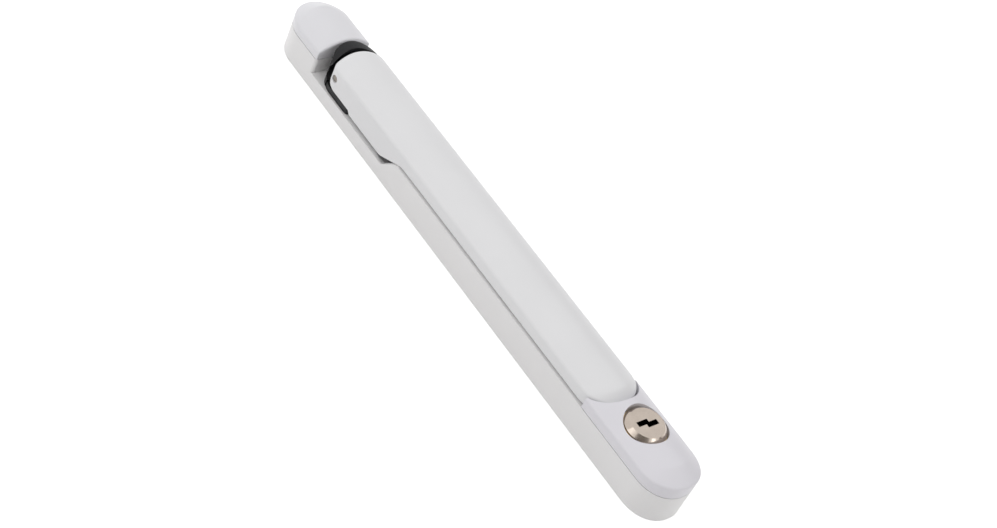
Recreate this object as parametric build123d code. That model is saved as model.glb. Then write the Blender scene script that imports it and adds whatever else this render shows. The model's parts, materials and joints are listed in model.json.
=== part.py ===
from build123d import *
import os
from math import cos, radians, sin, sqrt, tan

# Inline espagnolette handle. Millimetres, +Z out of the door. The origin lies on the mounting
# face, on the axis of the spindle. +Y runs along the handle to the hinge end.

# Running clearances
RUN = 0.05
LOOSE = 0.15
SEAT = 0.02
SWEEP = 0.45

# Base casting
BASE_WIDTH = 22.0
END_RISE = 12.08
HINGE_END = 35.3
LOCK_END = 190.2
RIM_Z = 11.8
RIM_EDGE = 0.3
TRAY_WALL = 2.0
TRAY_FLOOR = 4.0
TRAY_START = 147.5
TRAY_STOP = 28.0
TRAY_CORNER = 2.0
TABLE_FLOOR = 5.5
STEP_FOOT = 35.0
STEP_ANGLE = 45.0
STEP_FOOT_RADIUS = 1.2
STEP_HEAD_RADIUS = 8.5

# Caps
CROWN_RADIUS = 19.7
LOCK_CAP_CROWN = 19.3
LOCK_CAP_EDGE = 1.3
HINGE_CAP_CROWN = 18.7
HINGE_CAP_EDGE = 4.0
CAP_WALL = 2.0
CAP_ROOF = 2.6
CAP_SCREW_ROOF = 0.5
FACET_BOTTOM = 15.3
FACET_ANGLE = 27.0
FACET_LENGTH = 20.0
HORN_END = 149.3
NOSE_GAP = 0.65

# Lever
LEVER_WIDTH = 20.6
LEVER_CROWN = 19.65
LEVER_EDGE = 4.5
LEVER_GAP = 0.35
LEVER_WALL = 2.2
NOSE_CENTRE = 146.0
NOSE_RISE = 9.2
NOSE_SOLID = 16.0
STEP_GAP = 0.5
DEEP_GAP = 0.3
RIB_COUNT = 4
RIB_THICK = 1.6
RIB_DEPTH = 3.0
LIFT_LIMIT = 75.0

# Hinge
PIN_Z = 12.6
PIN_DIAMETER = 2.8
PIN_RECESS = 0.35
PIN_CHAMFER = 0.25
LUG_WIDTH = 10.8
LUG_RADIUS = 4.4
NECK_HALF = 3.0
WASHER_THICK = 0.55
WASHER_RADIUS = 3.6
KNUCKLE_ROOF_GAP = 0.5
KNUCKLE_FRONT_DROP = 1.2
SLOT_FRONT = 13.0
NECK_GAP = 0.35

# Hub
HUB_RADIUS = 10.3
HUB_LIFT = 0.15
HUB_PLATE = 1.1
HUB_NOSE = 11.7
HUB_NOSE_CORNER = 1.5
COLLAR_CROWN = 18.8
COLLAR_INNER = 7.0
COLLAR_INNER_RADIUS = 17.0
COLLAR_TIP = 3.8
DISH_GAP = 0.35
JOURNAL_RADIUS = 8.0
JOURNAL_BOTTOM = 0.4

# Hub retention at the back
BACK_RADIUS = 10.0
BACK_DEPTH = 2.9
THRUST_THICK = 0.8
WAVE_THICK = 0.5
WAVE_GAP = 0.05
RING_THICK = 0.9
RING_GROOVE = 0.7
RING_REACH = 1.3
RING_OPENING = 50.0

# Drive socket
SQUARE = 7.0
SOCKET_RADIUS = 5.8
SOCKET_TOP = 4.4
SOCKET_KNURLS = 24
KNURL_RADIUS = 0.3

# Lock
LOCK_Y = -166.56
LOCK_HOLE = 7.72
HEAD_RADIUS = 7.3
HEAD_FACE_RADIUS = 5.95
HEAD_FACE_Z = 19.3
HEAD_CHAMFER_DROP = 1.0
HEAD_SIDE = 0.9
PLUG_RADIUS = 6.2
PLUG_BOTTOM = 7.0
BARREL_WALL = 1.3
BARREL_TOP_GAP = 0.2
BARREL_BOTTOM = 8.6
FLANGE_RADIUS = 9.0
FLANGE_THICK = 1.4
FLANGE_BOSS = 9.4
KEYWAY_REACH = 3.75
KEYWAY_OFFSET = 0.62
KEYWAY_HALF = 0.9
KEYWAY_OVERLAP = 0.7
KEYWAY_DEPTH = 10.0
CLIP_THICK = 0.7
CLIP_GROOVE = 1.1
CLIP_INSET = 0.35
CLIP_MOUTH = 6.8
WAFER_COUNT = 5
WAFER_THICK = 0.7
WAFER_PITCH = 1.35
WAFER_REACH = 5.5
WAFER_HALF = 2.4
WAFER_TOP = 15.6
WAFER_PLAY = 0.1

# Bolt driven by the plug's crank pin
CRANK_RADIUS = 2.5
CRANK_PIN = 2.0
CRANK_SWING = 90.0
CRANK_TIP = 2.2
BOLT_HALF = 4.3
BOLT_TOP = 6.3
BOLT_BOTTOM = 1.6
BOLT_NOSE_HALF = 3.3
BOLT_NOSE_BOTTOM = 3.4
BOLT_NOSE_LENGTH = 6.0
BOLT_TIP = 154.5
BOLT_TAIL = 172.5
BOLT_CHAMBER_TOP = 6.6
COVER_THICK = 1.2
COVER_HALF = 5.2
COVER_START = 182.6
COVER_STOP = 156.4
COVER_SINK = 0.2
COVER_CORNER = 1.0

# Catch under the lever's nose
CATCH_THICK = 1.6
CATCH_HALF = 4.2
CATCH_FRONT = 153.4
CATCH_BOTTOM = 1.4
CATCH_STRAP_END = 140.5
CATCH_BEND = 1.44
CATCH_WINDOW_HALF = 3.6
CATCH_WINDOW_BOTTOM = 3.1
CATCH_WINDOW_TOP = 6.7
CATCH_POCKET_HALF = 4.8
CATCH_POCKET_START = 154.3
CATCH_POCKET_FLOOR = 0.9
CATCH_SCREWS = (149.0, 143.6)

# Rubber buffers under the nose
BUFFER_X = 6.4
BUFFER_Y = -151.2
BUFFER_RADIUS = 1.8
BUFFER_DEPTH = 2.0
BUFFER_PROUD = 0.3

# Screws
SCREW_M3 = 3.0
SCREW_M25 = 2.5
SCREW_M2 = 2.0
HEAD_RATIO = 1.9
SCREW_ENTRY = 0.1
SCREW_RUNOUT = 0.3
DRIVE_RATIO = 0.42
DRIVE_DEPTH = 0.55
CAP_SCREW_BITE = 3.0
COVER_SCREW_BITE = 3.2
CATCH_SCREW_LENGTH = 4.6
HINGE_CAP_SCREWS = ((-6.0, 18.5), (6.0, 18.5))
LOCK_CAP_SCREWS = ((-7.9, -157.0), (7.9, -157.0), (0.0, -186.2))
COVER_SCREWS = ((-3.1, -180.2), (3.1, -180.2))
BOSS_WALL = 1.7

# Fixing holes in the tray floor
FIXING_DIAMETER = 5.2
FIXING_HEAD = 10.4
FIXING_YS = (-55.0, -135.0)

# Derived values shared by several pieces
HALF = BASE_WIDTH / 2
LEVER_HALF = LEVER_WIDTH / 2
LEVER_UNDER = RIM_Z + LEVER_GAP
TABLE_WALL = HUB_RADIUS + SWEEP
PLATE_BOTTOM = TABLE_FLOOR + HUB_LIFT
PLATE_TOP = PLATE_BOTTOM + HUB_PLATE
DEEP_UNDER = PLATE_TOP + DEEP_GAP
SLOT_WIDTH = LUG_WIDTH + 2 * (WASHER_THICK + 2 * SEAT)
BARREL_RADIUS = PLUG_RADIUS + RUN + BARREL_WALL
BARREL_TOP = HEAD_FACE_Z - HEAD_CHAMFER_DROP - HEAD_SIDE - BARREL_TOP_GAP
# Cutting shapes run past the part by these
TOP = 30.0
PAST = 5.0
BEYOND = 60.0
# A positive turn about this axis lifts the lever
LIFT_AXIS = Axis((0, 0, PIN_Z), (-1, 0, 0))


def box(x0, x1, y0, y1, z0, z1):
    """A block given by its lowest and highest corners."""
    solid = Box(x1 - x0, y1 - y0, z1 - z0)
    return Pos((x0 + x1) / 2, (y0 + y1) / 2, (z0 + z1) / 2) * solid


def rod(x, y, z0, z1, radius):
    """An upright cylinder from z0 to z1."""
    return Pos(x, y, (z0 + z1) / 2) * Cylinder(radius, z1 - z0)


def cone(x, y, z0, z1, radius0, radius1):
    """An upright cone from radius0 at z0 to radius1 at z1."""
    return Pos(x, y, (z0 + z1) / 2) * Cone(radius0, radius1, z1 - z0)


def ring(x, y, z0, z1, inner, outer):
    return rod(x, y, z0, z1, outer) - rod(x, y, z0 - 1, z1 + 1, inner)


def cross_rod(x0, x1, radius):
    """A cylinder along X on the hinge axis."""
    return Pos((x0 + x1) / 2, 0, PIN_Z) * Rot(0, 90, 0) * Cylinder(radius, x1 - x0)


def plan(half, rise, low, high, round_low=True, round_high=True):
    """The slim outline seen from the front. A rounded end is a half ellipse, any other is square."""
    y0 = low + rise if round_low else low
    y1 = high - rise if round_high else high
    outline = Pos(0, (y0 + y1) / 2) * Rectangle(2 * half, y1 - y0)
    if round_low:
        outline += Pos(0, y0) * Ellipse(half, rise)
    if round_high:
        outline += Pos(0, y1) * Ellipse(half, rise)
    return outline


def upright(face, z0, z1):
    return extrude(Pos(0, 0, z0) * face, amount=z1 - z0)


def section(half, bottom, crown, edge):
    """The crowned cross section, in X and Z, with rounded shoulders."""
    shoulder = crown - CROWN_RADIUS + sqrt(CROWN_RADIUS**2 - half**2)
    outline = Polyline((-half, shoulder), (-half, bottom), (half, bottom), (half, shoulder))
    outline += ThreePointArc((half, shoulder), (0, crown), (-half, shoulder))
    face = make_face(outline)
    if edge > 0:
        face = fillet(face.vertices().group_by(Axis.Y)[-1], edge)
    return face


def along(face, y0, y1):
    """Runs a section drawn in X and Z from y0 to y1."""
    return extrude(Plane((0, y0, 0), x_dir=(1, 0, 0), z_dir=(0, -1, 0)) * face, amount=y0 - y1)


def across(face, half):
    """Runs a profile drawn in Y and Z to both sides."""
    return extrude(Plane.YZ * face, amount=half, both=True)


def turned_about_pin(face, start, sweep):
    """Turns a section standing above the hinge pin about the pin's axis.
    Zero is straight up, and a positive angle leans to the hinge end."""
    standing = Plane((0, 0, 0), x_dir=(1, 0, 0), z_dir=(0, -1, 0)) * face
    return revolve(standing.rotate(LIFT_AXIS, start), axis=LIFT_AXIS, revolution_arc=sweep)


def screw(x, y, z0, z1, diameter):
    """A countersunk screw whose head is flush at z0 and whose tip is at z1 above it."""
    head = diameter * HEAD_RATIO / 2
    rim = z0 + SCREW_ENTRY
    neck = rim + head - diameter / 2
    body = rod(x, y, z0, rim, head)
    body += cone(x, y, rim, neck, head, diameter / 2)
    body += rod(x, y, neck, z1, diameter / 2)
    drive = RegularPolygon(diameter * DRIVE_RATIO, 6)
    return body - upright(Pos(x, y) * drive, z0 - PAST, z0 + diameter * DRIVE_DEPTH)


def screw_hole(x, y, z0, z1, diameter, clear):
    """The countersunk hole that the screw above lies in."""
    head = diameter * HEAD_RATIO / 2 + clear
    radius = diameter / 2 + clear
    rim = z0 + SCREW_ENTRY
    hole = rod(x, y, z0 - PAST, z1 + SCREW_RUNOUT, radius)
    hole += cone(x, y, rim, rim + head - radius, head, radius)
    return hole + rod(x, y, z0 - PAST, rim, head)


def step_profile(foot, floor, rim, foot_radius, head_radius):
    """What lies under the S shaped step between the slim part and the turntable, in Y and Z."""
    far = -LOCK_END - PAST
    run = (rim - floor) / tan(radians(STEP_ANGLE))
    face = make_face(Polyline((far, -PAST), (foot + BEYOND, -PAST), (foot + BEYOND, floor), (foot, floor),
                              (foot - run, rim), (far, rim), (far, -PAST)))
    corner = [v for v in face.vertices() if abs(v.X - foot) < 1e-6 and abs(v.Y - floor) < 1e-6]
    face = fillet(corner, foot_radius)
    corner = [v for v in face.vertices() if abs(v.X - foot + run) < 1e-6 and abs(v.Y - rim) < 1e-6]
    return fillet(corner, head_radius)


def base_outline():
    return plan(HALF, END_RISE, -LOCK_END, HINGE_END)


def make_base():
    body = upright(base_outline(), 0, RIM_Z)
    body = chamfer(body.edges().group_by(Axis.Z)[-1], RIM_EDGE)
    # Open turntable between the S step and the wall under the hinge cap
    filled = step_profile(-STEP_FOOT, TABLE_FLOOR, RIM_Z, STEP_FOOT_RADIUS, STEP_HEAD_RADIUS)
    filled = across(filled, HALF + PAST)
    wall = box(-HALF - PAST, HALF + PAST, TABLE_WALL, HINGE_END + PAST, -PAST, TOP)
    body = body & (filled + wall)
    # Tray under the lever
    tray = Pos(0, -(TRAY_START + TRAY_STOP) / 2) * RectangleRounded(
        2 * (HALF - TRAY_WALL), TRAY_START - TRAY_STOP, TRAY_CORNER)
    body -= upright(tray, TRAY_FLOOR, TOP)
    body -= box(-CATCH_POCKET_HALF, CATCH_POCKET_HALF, -CATCH_POCKET_START, -TRAY_START + TRAY_CORNER,
                CATCH_POCKET_FLOOR, TOP)
    # Hub bearing and the recess for its washers
    body -= rod(0, 0, -PAST, TOP, JOURNAL_RADIUS + RUN)
    body -= rod(0, 0, -PAST, BACK_DEPTH, BACK_RADIUS)
    # Lock barrel, its flange and the chamber of the bolt
    body -= rod(0, LOCK_Y, BOLT_TOP, TOP, BARREL_RADIUS + SEAT)
    body -= rod(0, LOCK_Y, RIM_Z - FLANGE_THICK - SEAT, TOP, FLANGE_RADIUS + LOOSE)
    travel = 2 * CRANK_RADIUS * sin(radians(CRANK_SWING / 2))
    body -= box(-BOLT_HALF - RUN, BOLT_HALF + RUN, -BOLT_TAIL - LOOSE,
                -BOLT_TIP - BOLT_NOSE_LENGTH + travel + LOOSE, -PAST, BOLT_CHAMBER_TOP)
    body -= box(-BOLT_NOSE_HALF - RUN, BOLT_NOSE_HALF + RUN, -BOLT_TAIL, -CATCH_POCKET_START + 1,
                BOLT_NOSE_BOTTOM - RUN, BOLT_TOP + RUN)
    body -= box(-COVER_HALF - LOOSE, COVER_HALF + LOOSE, -COVER_START - LOOSE, -COVER_STOP + LOOSE,
                -PAST, COVER_THICK + COVER_SINK)
    # Holes for the screws that come from the back
    for x, y in HINGE_CAP_SCREWS:
        body -= screw_hole(x, y, 0, RIM_Z, SCREW_M3, LOOSE)
    for x, y in LOCK_CAP_SCREWS:
        body -= screw_hole(x, y, 0, RIM_Z, SCREW_M25, LOOSE)
    for x, y in COVER_SCREWS:
        top = COVER_THICK + COVER_SINK + COVER_SCREW_BITE
        body -= rod(x, y, 0, top, SCREW_M2 / 2 + SEAT)
    # Countersunk fixing holes, reached when the lever is lifted
    for y in FIXING_YS:
        body -= rod(0, y, -PAST, TRAY_FLOOR + PAST, FIXING_DIAMETER / 2)
        sink = (FIXING_HEAD - FIXING_DIAMETER) / 2
        body -= cone(0, y, TRAY_FLOOR - sink, TRAY_FLOOR, FIXING_DIAMETER / 2, FIXING_HEAD / 2)
    for x in (-BUFFER_X, BUFFER_X):
        body -= rod(x, BUFFER_Y, RIM_Z - BUFFER_DEPTH, TOP, BUFFER_RADIUS + SEAT)
    return body


def cap_boss(x, y, diameter, roof):
    return rod(x, y, RIM_Z, roof, diameter / 2 + BOSS_WALL)


def make_hinge_cap():
    outline = plan(HALF, END_RISE, TABLE_WALL, HINGE_END, round_low=False)
    body = upright(outline, RIM_Z, TOP)
    body &= along(section(HALF + PAST, 0, HINGE_CAP_CROWN, 0), HINGE_END + PAST, 0)
    rim = [e for e in body.edges() if e.center().Z > RIM_Z + 2 and e.bounding_box().max.Y > TABLE_WALL + 3]
    body = fillet(rim, HINGE_CAP_EDGE)
    body = chamfer(body.edges().group_by(Axis.Z)[0], RIM_EDGE)
    inner = plan(HALF - CAP_WALL, END_RISE - CAP_WALL, TABLE_WALL + CAP_WALL, HINGE_END - CAP_WALL,
                 round_low=False)
    roof = HINGE_CAP_CROWN - CAP_ROOF
    hollow = upright(inner, RIM_Z - 1, roof)
    hollow &= along(section(HALF - CAP_WALL, 0, roof, HINGE_CAP_EDGE - CAP_WALL), HINGE_END + PAST, 0)
    for x, y in HINGE_CAP_SCREWS:
        hollow -= cap_boss(x, y, SCREW_M3, roof)
    body -= hollow
    for x, y in HINGE_CAP_SCREWS:
        body -= rod(x, y, RIM_Z - 1, roof - CAP_SCREW_ROOF, SCREW_M3 / 2 + SEAT)
    return body


def make_lock_cap():
    outline = plan(HALF, END_RISE, -LOCK_END, -HORN_END, round_high=False)
    nose = Pos(0, -NOSE_CENTRE) * Ellipse(LEVER_HALF + NOSE_GAP, NOSE_RISE + NOSE_GAP)
    body = upright(outline - nose, RIM_Z, TOP)
    body &= along(section(HALF, 0, LOCK_CAP_CROWN, LOCK_CAP_EDGE), -HORN_END + PAST, -LOCK_END - PAST)
    # The sloping facet round the lock end follows the outline up a slant
    slant = (0, cos(radians(FACET_ANGLE)), sin(radians(FACET_ANGLE)))
    full = plan(HALF, END_RISE, -LOCK_END, 0, round_high=False)
    leaning = extrude(Pos(0, 0, FACET_BOTTOM) * full, amount=FACET_LENGTH, dir=slant)
    body &= leaning + upright(full, RIM_Z - 1, FACET_BOTTOM)
    body = chamfer(body.edges().group_by(Axis.Z)[0], RIM_EDGE)
    # Hollow underside with a boss round the lock and one on each screw
    roof = LOCK_CAP_CROWN - CAP_ROOF
    inner = plan(HALF - CAP_WALL, END_RISE - CAP_WALL, -LOCK_END + CAP_WALL, -HORN_END, round_high=False)
    clear = Pos(0, -NOSE_CENTRE) * Ellipse(LEVER_HALF + NOSE_GAP + CAP_WALL, NOSE_RISE + NOSE_GAP + CAP_WALL)
    hollow = upright(inner - clear, RIM_Z - 1, roof)
    hollow &= along(section(HALF - CAP_WALL, 0, roof, LOCK_CAP_EDGE), -HORN_END, -LOCK_END)
    lower = plan(HALF, END_RISE - CAP_WALL, -LOCK_END + CAP_WALL, 0, round_high=False)
    lower = extrude(Pos(0, 0, FACET_BOTTOM - CAP_WALL) * lower, amount=FACET_LENGTH, dir=slant)
    hollow &= lower + box(-HALF, HALF, -LOCK_END, 0, 0, FACET_BOTTOM - CAP_WALL)
    hollow -= rod(0, LOCK_Y, RIM_Z, TOP, FLANGE_BOSS)
    for x, y in LOCK_CAP_SCREWS:
        hollow -= cap_boss(x, y, SCREW_M25, TOP)
    body -= hollow
    body -= rod(0, LOCK_Y, RIM_Z - 1, TOP, LOCK_HOLE)
    for x, y in LOCK_CAP_SCREWS:
        body -= rod(x, y, RIM_Z - 1, FACET_BOTTOM - CAP_SCREW_ROOF, SCREW_M25 / 2 + SEAT)
    return body


def lever_plan():
    return plan(LEVER_HALF, NOSE_RISE, -NOSE_CENTRE - NOSE_RISE, 0, round_high=False)


def make_lever():
    # The crowned bar, its large rounded edges running round the nose
    body = upright(lever_plan(), DEEP_UNDER, TOP)
    body &= along(section(LEVER_HALF + PAST, 0, LEVER_CROWN, 0), PAST, -LOCK_END)
    rim = [e for e in body.edges() if e.bounding_box().min.Z > LEVER_CROWN - 4 and e.center().Y < -1]
    body = fillet(rim, LEVER_EDGE)
    # The underside steps up from the hinge part to the slim grip
    foot = -(STEP_FOOT - STEP_GAP * sqrt(2) + (DEEP_UNDER - TABLE_FLOOR))
    under = step_profile(foot, DEEP_UNDER, LEVER_UNDER, STEP_FOOT_RADIUS + STEP_GAP,
                         STEP_HEAD_RADIUS + STEP_GAP)
    body -= across(under, HALF)
    # The knuckle is the same section turned about the pin
    upper = section(LEVER_HALF, PIN_Z, LEVER_CROWN, LEVER_EDGE)
    knuckle = turned_about_pin(upper, 0, 180)
    knuckle &= box(-HALF, HALF, 0, TOP, DEEP_UNDER, TOP)
    body += knuckle
    # Slot for the hub's lug, open below and behind, closed on top
    roof = LUG_RADIUS + KNUCKLE_ROOF_GAP
    half = SLOT_WIDTH / 2
    body -= cross_rod(-half, half, roof)
    body -= box(-half, half, -SLOT_FRONT, 0, 0, PIN_Z + roof - KNUCKLE_FRONT_DROP)
    body -= box(-half, half, 0, roof, 0, PIN_Z)
    wedge = make_face(Polyline((0, PIN_Z), (0, 0), (TOP, 0),
                               (TOP, PIN_Z - TOP / tan(radians(LIFT_LIMIT))), (0, PIN_Z)))
    body -= across(wedge, half)
    neck = box(-half, half, -NECK_HALF, NECK_HALF + NECK_GAP, 0, PIN_Z)
    body -= neck.rotate(LIFT_AXIS, -LIFT_LIMIT)
    # Hollow underside of the grip, stiffened by ribs
    start = -NOSE_CENTRE - NOSE_RISE + NOSE_SOLID
    stop = -SLOT_FRONT - LEVER_WALL
    ceiling = LEVER_CROWN - LEVER_WALL
    hollow = along(section(LEVER_HALF - LEVER_WALL, 0, ceiling, LEVER_EDGE - LEVER_WALL), stop, start)
    pitch = (stop - start) / (RIB_COUNT + 1)
    for number in range(1, RIB_COUNT + 1):
        y = start + number * pitch
        hollow -= box(-HALF, HALF, y - RIB_THICK / 2, y + RIB_THICK / 2, ceiling - RIB_DEPTH, TOP)
    body -= hollow
    # Bore of the pin, seat of the catch and its screw holes
    body -= cross_rod(-HALF, HALF, PIN_DIAMETER / 2 + SEAT)
    body -= box(-CATCH_HALF - SEAT, CATCH_HALF + SEAT, -CATCH_FRONT - SEAT, -CATCH_STRAP_END + SEAT,
                0, LEVER_UNDER + CATCH_THICK)
    for y in CATCH_SCREWS:
        body -= rod(0, -y, 0, LEVER_UNDER + CATCH_SCREW_LENGTH + SCREW_RUNOUT, SCREW_M25 / 2 + SEAT)
    return body


def make_catch():
    top = LEVER_UNDER + CATCH_THICK - SEAT
    strap = box(-CATCH_HALF, CATCH_HALF, -CATCH_FRONT, -CATCH_STRAP_END, LEVER_UNDER - SEAT, top)
    leg = box(-CATCH_HALF, CATCH_HALF, -CATCH_FRONT, -CATCH_FRONT + CATCH_THICK, CATCH_BOTTOM, top)
    leg -= box(-CATCH_WINDOW_HALF, CATCH_WINDOW_HALF, -CATCH_FRONT - 1, -CATCH_FRONT + CATCH_THICK + 1,
               CATCH_WINDOW_BOTTOM, CATCH_WINDOW_TOP)
    body = strap + leg
    outer = [e for e in body.edges().filter_by(Axis.X)
             if abs(e.center().Z - top) < 1e-4 and abs(e.center().Y + CATCH_FRONT) < 1e-4]
    body = fillet(outer, CATCH_BEND)
    for y in CATCH_SCREWS:
        body -= screw_hole(0, -y, LEVER_UNDER - SEAT, top, SCREW_M25, SEAT)
    return body


def make_hub():
    circle = Circle(HUB_RADIUS)
    nose = Pos(0, -HUB_NOSE / 2) * Rectangle(2 * HUB_RADIUS, HUB_NOSE)
    nose = fillet(nose.vertices().group_by(Axis.Y)[0], HUB_NOSE_CORNER)
    body = upright(circle + nose, PLATE_BOTTOM, PLATE_TOP)
    # The collar behind the knuckle, crowned like the caps
    collar = upright(circle, PLATE_BOTTOM, TOP)
    collar &= along(section(HUB_RADIUS + PAST, 0, COLLAR_CROWN, 0), TOP, -TOP)
    collar -= Pos(0, COLLAR_INNER - COLLAR_INNER_RADIUS, TOP / 2 + PLATE_TOP) * Cylinder(
        COLLAR_INNER_RADIUS, TOP)
    collar -= box(-TOP, TOP, -TOP, COLLAR_TIP, PLATE_TOP, TOP)
    body += collar
    # Room for the knuckle as it turns, and for the raised lever
    swept = section(LEVER_HALF + 1, PIN_Z, LEVER_CROWN + DISH_GAP, 0)
    dish = turned_about_pin(swept, 0, 200)
    raised = along(swept, 0, -BEYOND).rotate(LIFT_AXIS, LIFT_LIMIT)
    body -= dish + raised
    body += rod(0, 0, JOURNAL_BOTTOM, PLATE_BOTTOM, JOURNAL_RADIUS) - dish
    # Lug and neck that carry the hinge pin
    half = LUG_WIDTH / 2
    lug = cross_rod(-half, half, LUG_RADIUS)
    lug += box(-half, half, -NECK_HALF, NECK_HALF, PLATE_BOTTOM - 1, PIN_Z)
    body += lug
    body -= cross_rod(-half - PAST, half + PAST, PIN_DIAMETER / 2 + RUN)
    # Seat of the square socket and the groove of the retaining ring
    body -= rod(0, 0, 0, SOCKET_TOP, SOCKET_RADIUS + SEAT)
    low, high = ring_span()
    body -= ring(0, 0, low - RUN, high + RUN, JOURNAL_RADIUS - RING_GROOVE, JOURNAL_RADIUS + PAST)
    return body


def ring_span():
    """Lowest and highest point of the retaining ring under the hub's washers."""
    high = BACK_DEPTH - THRUST_THICK - WAVE_THICK - 3 * WAVE_GAP
    return high - RING_THICK, high


def make_retaining_ring():
    low, high = ring_span()
    inner = JOURNAL_RADIUS - RING_GROOVE + RUN
    body = ring(0, 0, low, high, inner, JOURNAL_RADIUS + RING_REACH)
    reach = 2 * JOURNAL_RADIUS
    spread = reach * tan(radians(RING_OPENING / 2))
    gap = make_face(Polyline((0, 0), (-spread, -reach), (spread, -reach), (0, 0)))
    return body - upright(gap, low - 1, high + 1)


def make_socket():
    body = rod(0, 0, JOURNAL_BOTTOM, SOCKET_TOP - SEAT, SOCKET_RADIUS)
    for number in range(SOCKET_KNURLS):
        angle = radians(360 * number / SOCKET_KNURLS)
        body -= rod(SOCKET_RADIUS * cos(angle), SOCKET_RADIUS * sin(angle), 0, SOCKET_TOP, KNURL_RADIUS)
    return body - upright(Rectangle(SQUARE, SQUARE), 0, SOCKET_TOP)


def keyway():
    """The stepped key slot, two flat arms side by side."""
    reach = KEYWAY_REACH + KEYWAY_OVERLAP
    arm = Rectangle(reach, 2 * KEYWAY_HALF)
    middle = (KEYWAY_REACH - KEYWAY_OVERLAP) / 2
    return Pos(-middle, KEYWAY_OFFSET) * arm + Pos(middle, -KEYWAY_OFFSET) * arm


def wafer_levels():
    return [WAFER_TOP - number * WAFER_PITCH for number in range(WAFER_COUNT)]


def make_plug():
    edge = HEAD_FACE_Z - HEAD_CHAMFER_DROP
    under = edge - HEAD_SIDE
    body = rod(0, LOCK_Y, PLUG_BOTTOM, under, PLUG_RADIUS)
    body += rod(0, LOCK_Y, under, edge, HEAD_RADIUS)
    body += cone(0, LOCK_Y, edge, HEAD_FACE_Z, HEAD_RADIUS, HEAD_FACE_RADIUS)
    body -= upright(Pos(0, LOCK_Y) * keyway(), HEAD_FACE_Z - KEYWAY_DEPTH, TOP)
    for z in wafer_levels():
        body -= box(-HALF, HALF, LOCK_Y - WAFER_HALF - RUN, LOCK_Y + WAFER_HALF + RUN,
                    z - RUN, z + WAFER_THICK + RUN)
    low, high = clip_span()
    body -= ring(0, LOCK_Y, low - RUN, high + RUN, PLUG_RADIUS - CLIP_GROOVE, PLUG_RADIUS + PAST)
    swing = radians(-CRANK_SWING / 2)
    body += rod(CRANK_RADIUS * cos(swing), LOCK_Y + CRANK_RADIUS * sin(swing), CRANK_TIP,
                PLUG_BOTTOM, CRANK_PIN / 2)
    return body


def clip_span():
    high = BARREL_BOTTOM - RUN
    return high - CLIP_THICK, high


def make_plug_clip():
    low, high = clip_span()
    body = ring(0, LOCK_Y, low, high, PLUG_RADIUS - CLIP_GROOVE + RUN, BARREL_RADIUS - CLIP_INSET)
    gap = box(-CLIP_MOUTH / 2, CLIP_MOUTH / 2, LOCK_Y - TOP, LOCK_Y, low - 1, high + 1)
    return body - gap


def make_wafers():
    plates = []
    outline = Rectangle(2 * WAFER_REACH, 2 * WAFER_HALF)
    window = Rectangle(2 * (KEYWAY_REACH + 2 * WAFER_PLAY), 2 * (KEYWAY_OFFSET + KEYWAY_HALF + WAFER_PLAY))
    for z in wafer_levels():
        plates.append(upright(Pos(0, LOCK_Y) * (outline - window), z, z + WAFER_THICK))
    return Compound(children=plates)


def make_barrel():
    body = rod(0, LOCK_Y, BARREL_BOTTOM, BARREL_TOP, BARREL_RADIUS)
    body += rod(0, LOCK_Y, RIM_Z - FLANGE_THICK, RIM_Z - SEAT, FLANGE_RADIUS)
    return body - rod(0, LOCK_Y, 0, TOP, PLUG_RADIUS + RUN)


def make_bolt():
    body = box(-BOLT_HALF, BOLT_HALF, -BOLT_TAIL, -BOLT_TIP - BOLT_NOSE_LENGTH, BOLT_BOTTOM, BOLT_TOP)
    body += box(-BOLT_NOSE_HALF, BOLT_NOSE_HALF, -BOLT_TIP - BOLT_NOSE_LENGTH, -BOLT_TIP,
                BOLT_NOSE_BOTTOM, BOLT_TOP)
    swing = radians(-CRANK_SWING / 2)
    y = LOCK_Y + CRANK_RADIUS * sin(swing)
    half = CRANK_PIN / 2 + LOOSE
    x0 = CRANK_RADIUS * cos(swing) - half
    x1 = CRANK_RADIUS + half
    return body - box(x0, x1, y - half, y + half, BOLT_BOTTOM - 1, BOLT_TOP + 1)


def make_cover():
    z0 = COVER_SINK / 2
    body = box(-COVER_HALF, COVER_HALF, -COVER_START, -COVER_STOP, z0, z0 + COVER_THICK)
    body = fillet(body.edges().filter_by(Axis.Z), COVER_CORNER)
    for x, y in COVER_SCREWS:
        body -= screw_hole(x, y, z0, z0 + COVER_THICK, SCREW_M2, SEAT)
    return body


def screws(places, z0, z1, diameter):
    return Compound(children=[screw(x, y, z0, z1, diameter) for x, y in places])


def make_pin():
    end = LEVER_HALF - PIN_RECESS
    body = cross_rod(-end, end, PIN_DIAMETER / 2)
    return chamfer(body.edges().filter_by(GeomType.CIRCLE), PIN_CHAMFER)


def make_pin_washers():
    rings = []
    for side in (-1, 1):
        x = side * (LUG_WIDTH / 2 + SEAT + WASHER_THICK / 2)
        half = WASHER_THICK / 2
        rings.append(cross_rod(x - half, x + half, WASHER_RADIUS)
                     - cross_rod(x - 1, x + 1, PIN_DIAMETER / 2 + RUN))
    return Compound(children=rings)


def make_buffers():
    low = RIM_Z - BUFFER_DEPTH + SEAT
    high = RIM_Z + BUFFER_PROUD
    return Compound(children=[rod(x, BUFFER_Y, low, high, BUFFER_RADIUS) for x in (-BUFFER_X, BUFFER_X)])


def make_thrust_washer():
    high = BACK_DEPTH - WAVE_GAP
    return ring(0, 0, high - THRUST_THICK, high, JOURNAL_RADIUS + RUN, BACK_RADIUS - LOOSE)


def make_wave_washer():
    high = BACK_DEPTH - THRUST_THICK - 2 * WAVE_GAP
    return ring(0, 0, high - WAVE_THICK, high, JOURNAL_RADIUS + RUN, BACK_RADIUS - 2 * LOOSE)


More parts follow.
